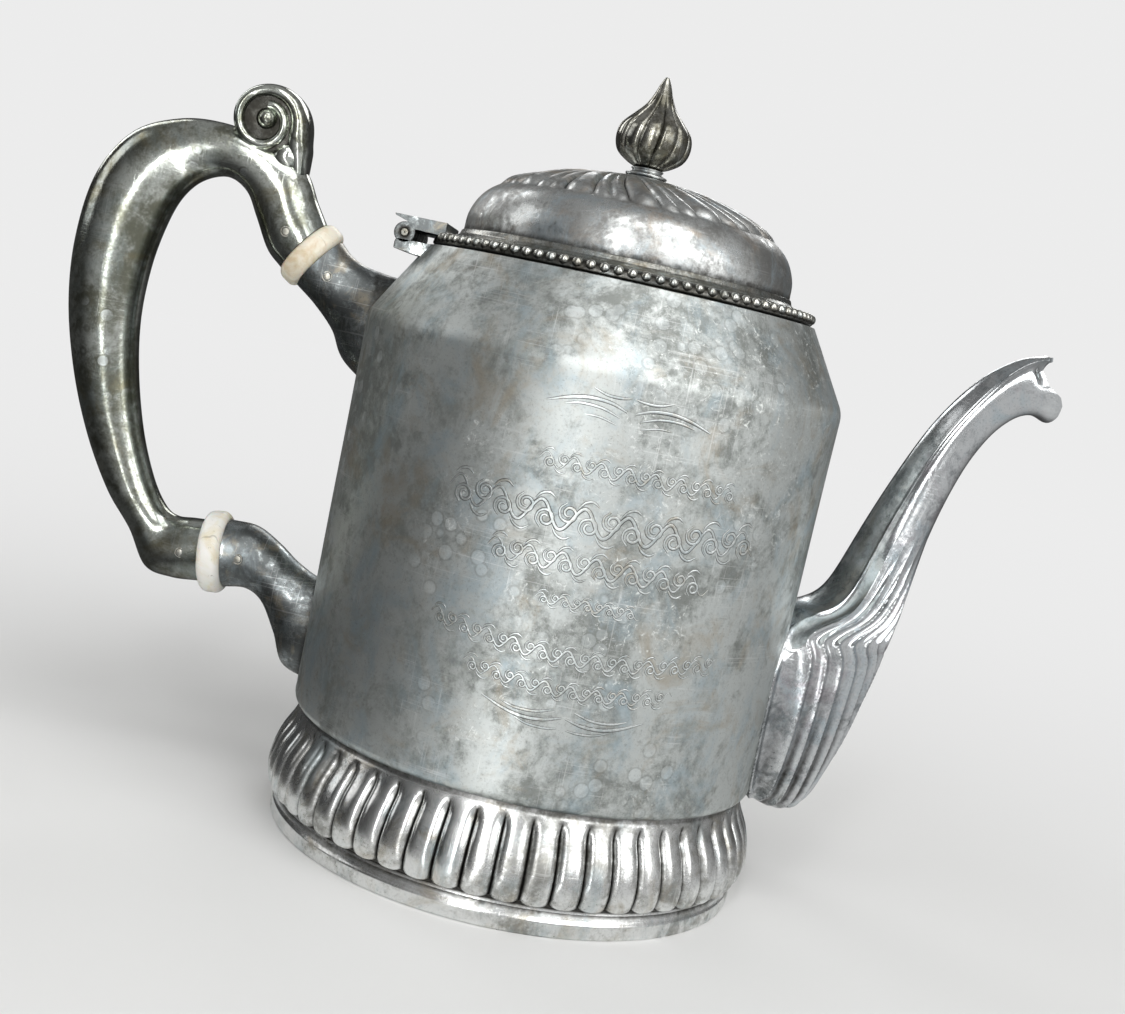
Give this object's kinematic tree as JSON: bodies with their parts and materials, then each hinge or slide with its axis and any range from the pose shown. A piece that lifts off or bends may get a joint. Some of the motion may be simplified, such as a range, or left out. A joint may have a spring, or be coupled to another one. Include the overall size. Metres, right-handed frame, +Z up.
{
  "type": "coffee pot",
  "caption": "Lidded coffee pot: drum body on a gadrooned foot, fluted swan-neck spout, hinged domed lid with bulb finial, scroll handle held off by insulating rings.",
  "frame": {"origin": "centre of the foot, on the surface that the pot stands on", "axes": "+Z up through the finial, +X towards the spout, -X towards the handle, the hinge pin lies along Y"},
  "size_m": [0.2777, 0.139, 0.2196],
  "materials": {
    "silver_body": "worn silver plate, lightly tarnished, with water spots",
    "silver_base": "bright worn silver plate with dark grooves",
    "silver_spout": "polished silver plate",
    "silver_dark": "tarnished silver plate",
    "silver_handle": "polished silver plate with grey-green tarnish",
    "silver_lid": "worn silver plate, lightly tarnished",
    "silver_beads": "silver plate beads, dark between them",
    "silver_finial": "dark tarnished silver plate",
    "pin_metal": "worn metal",
    "bone": "aged bone with fine cracks"
  },
  "bodies": {
    "pot": {"body_shell": "silver_body", "mouth_ring": "silver_body", "bottom_plate": "silver_body", "base_band": "silver_base", "foot_ring": "silver_base", "spout": "silver_spout", "upper_socket": "silver_dark", "lower_socket": "silver_dark", "upper_insulator": "bone", "lower_insulator": "bone", "handle": "silver_handle", "upper_handle_pin": "pin_metal", "upper_socket_pin": "pin_metal", "lower_handle_pin": "pin_metal", "lower_socket_pin": "pin_metal", "body_hinge_leaf": "silver_dark", "hinge_pin": "pin_metal"},
    "lid": {"lid_hinge_leaf": "silver_dark", "lid_dome": "silver_lid", "lid_bead_moulding": "silver_beads", "lid_bezel": "silver_lid", "finial": "silver_finial", "finial_collar": "silver_lid", "finial_stud": "pin_metal", "finial_washer": "pin_metal", "finial_nut": "pin_metal"}
  },
  "joints": [
    {"name": "lid_hinge", "type": "hinge", "parent": "pot", "child": "lid", "pos_m": [-0.06, 0, 0.16312], "axis": [0, -1, 0], "range_deg": [0, 95]}
  ]
}
